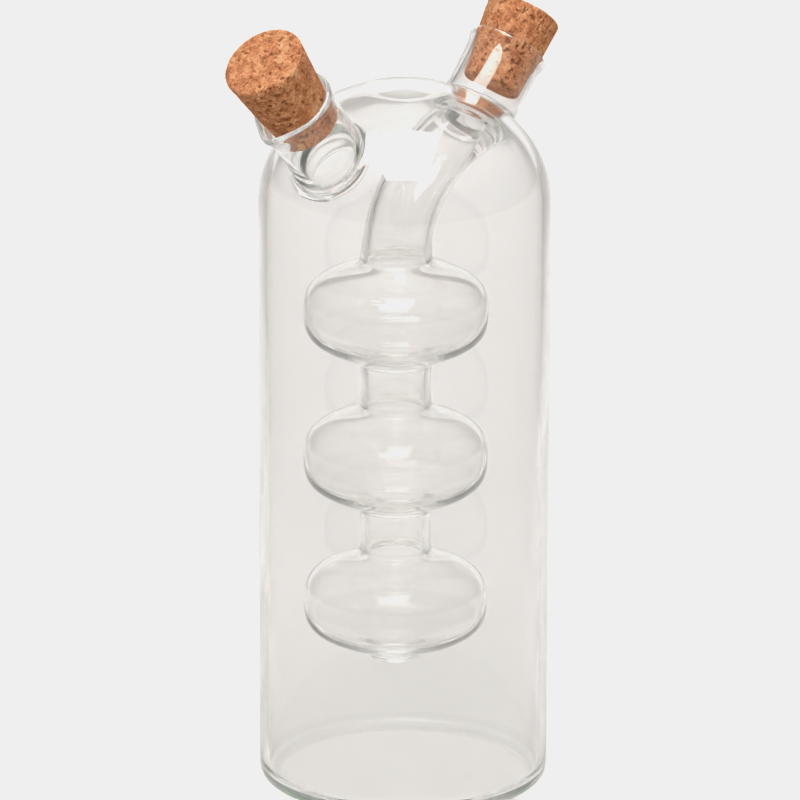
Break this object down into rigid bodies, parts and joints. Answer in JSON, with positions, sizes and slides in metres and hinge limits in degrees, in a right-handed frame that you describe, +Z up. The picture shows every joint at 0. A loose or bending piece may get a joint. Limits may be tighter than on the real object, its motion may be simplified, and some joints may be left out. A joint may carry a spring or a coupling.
{
  "type": "oil and vinegar bottle",
  "caption": "Clear glass cruet: a domed cylinder jar for oil with joined blown bulbs for vinegar inside it, each with a slanted spout closed by a tapered cork stopper.",
  "frame": {"origin": "centre of the jar's flat foot, on the surface that the bottle stands on", "axes": "+Z up along the jar's axis; the two spouts lean in the upright plane at 49 degrees from +X towards +Y, the vinegar spout towards +X +Y and the oil spout towards -X -Y; -Y faces the picture's camera"},
  "size_m": [0.0898, 0.0997, 0.2209],
  "materials": {
    "glass": "clear blown glass, polished, faintly green in its thick edges",
    "cork": "agglomerated cork, matt, with fine pits"
  },
  "bodies": {
    "bottle": {"jar_foot": "glass", "jar_side": "glass", "jar_shoulder": "glass", "upper_bulb": "glass", "middle_bulb": "glass", "lower_bulb": "glass", "upper_neck": "glass", "lower_neck": "glass", "riser_tube": "glass", "oil_spout": "glass", "vinegar_spout": "glass"},
    "oil_stopper": {"oil_cork": "cork"},
    "vinegar_stopper": {"vinegar_cork": "cork"}
  },
  "joints": [
    {"name": "oil_cork_pull", "type": "slide", "parent": "bottle", "child": "oil_stopper", "axis": [-0.4217, -0.4851, 0.766], "range_m": [0, 0.035]},
    {"name": "vinegar_cork_pull", "type": "slide", "parent": "bottle", "child": "vinegar_stopper", "axis": [0.439, 0.505, 0.7431], "range_m": [0, 0.035]}
  ]
}
